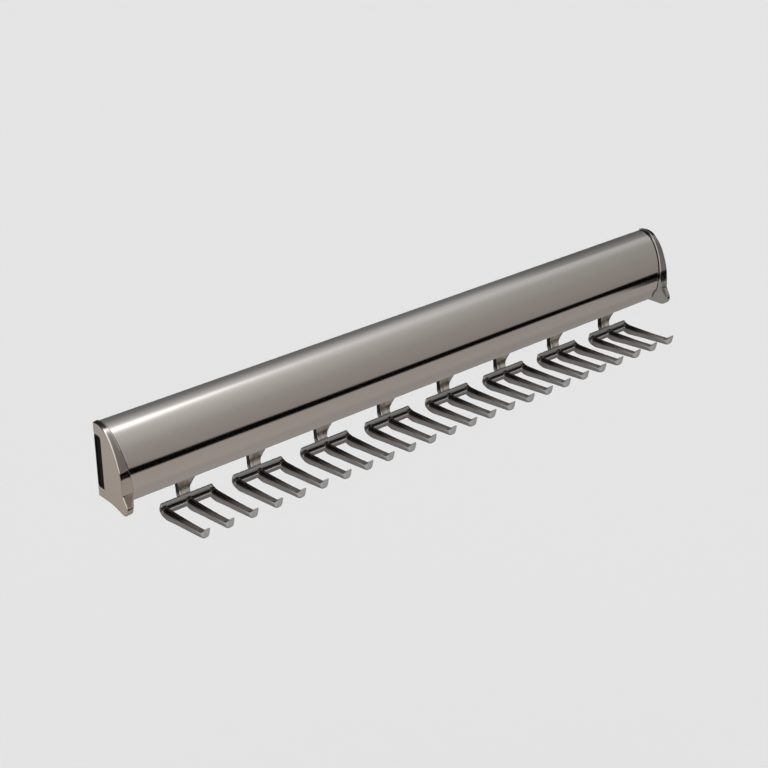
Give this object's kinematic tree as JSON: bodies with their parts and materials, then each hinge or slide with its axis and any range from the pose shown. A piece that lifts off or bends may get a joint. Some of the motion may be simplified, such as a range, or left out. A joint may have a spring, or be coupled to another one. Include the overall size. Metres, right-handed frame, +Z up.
{
  "type": "pull-out tie rack",
  "caption": "Wall-mounted pull-out tie rack: a curved polished housing on a full-extension ball-bearing slide, with a row of three-prong tie hooks below it.",
  "frame": {"origin": "middle wall-screw hole of the wall rail, on the wall plane", "axes": "+X along the rail to its rear end, so the rack pulls out towards -X; +Y into the wall; +Z up"},
  "size_m": [0.36, 0.0466, 0.0523],
  "materials": {
    "housing": "polished black-nickel plate over an extruded profile",
    "cap": "black-nickel plated zinc casting, end face satin, edges polished",
    "hook": "dark black-nickel plated zinc casting",
    "plug": "black moulded plastic",
    "rail": "zinc-plated rolled steel",
    "cage": "thin zinc-plated steel strip",
    "ball": "polished bearing steel",
    "bumper": "black moulded plastic",
    "screw": "zinc-plated steel"
  },
  "bodies": {
    "wall_rail": {"cabinet_rail": "rail", "rear_bumper": "bumper"},
    "outer_cage": {"outer_ball_cage": "cage", "outer_balls": "ball"},
    "middle_rail": {"intermediate_rail": "rail", "intermediate_bumper": "bumper"},
    "inner_cage": {"inner_ball_cage": "cage", "inner_balls": "ball"},
    "carriage": {"housing_profile": "housing", "front_end_cap": "cap", "rear_end_cap": "cap", "front_slot_plug": "plug", "tie_hook_1": "hook", "tie_hook_2": "hook", "tie_hook_3": "hook", "tie_hook_4": "hook", "tie_hook_5": "hook", "tie_hook_6": "hook", "tie_hook_7": "hook", "tie_hook_8": "hook", "inner_rail": "rail", "inner_rail_screws": "screw", "front_cap_screws": "screw", "rear_cap_screws": "screw"}
  },
  "joints": [
    {"name": "pull_out", "type": "slide", "parent": "wall_rail", "child": "carriage", "axis": [-1, 0, 0], "range_m": [0, 0.326]},
    {"name": "middle_rail_slide", "type": "slide", "parent": "wall_rail", "child": "middle_rail", "axis": [-1, 0, 0], "range_m": [0, 0.163]},
    {"name": "outer_cage_slide", "type": "slide", "parent": "wall_rail", "child": "outer_cage", "axis": [-1, 0, 0], "range_m": [0, 0.0815]},
    {"name": "inner_cage_slide", "type": "slide", "parent": "wall_rail", "child": "inner_cage", "axis": [-1, 0, 0], "range_m": [0, 0.2445]}
  ],
  "couplings": [
    {"joint": "middle_rail_slide", "follows": "pull_out", "ratio": 0.5},
    {"joint": "outer_cage_slide", "follows": "pull_out", "ratio": 0.25},
    {"joint": "inner_cage_slide", "follows": "pull_out", "ratio": 0.75}
  ]
}
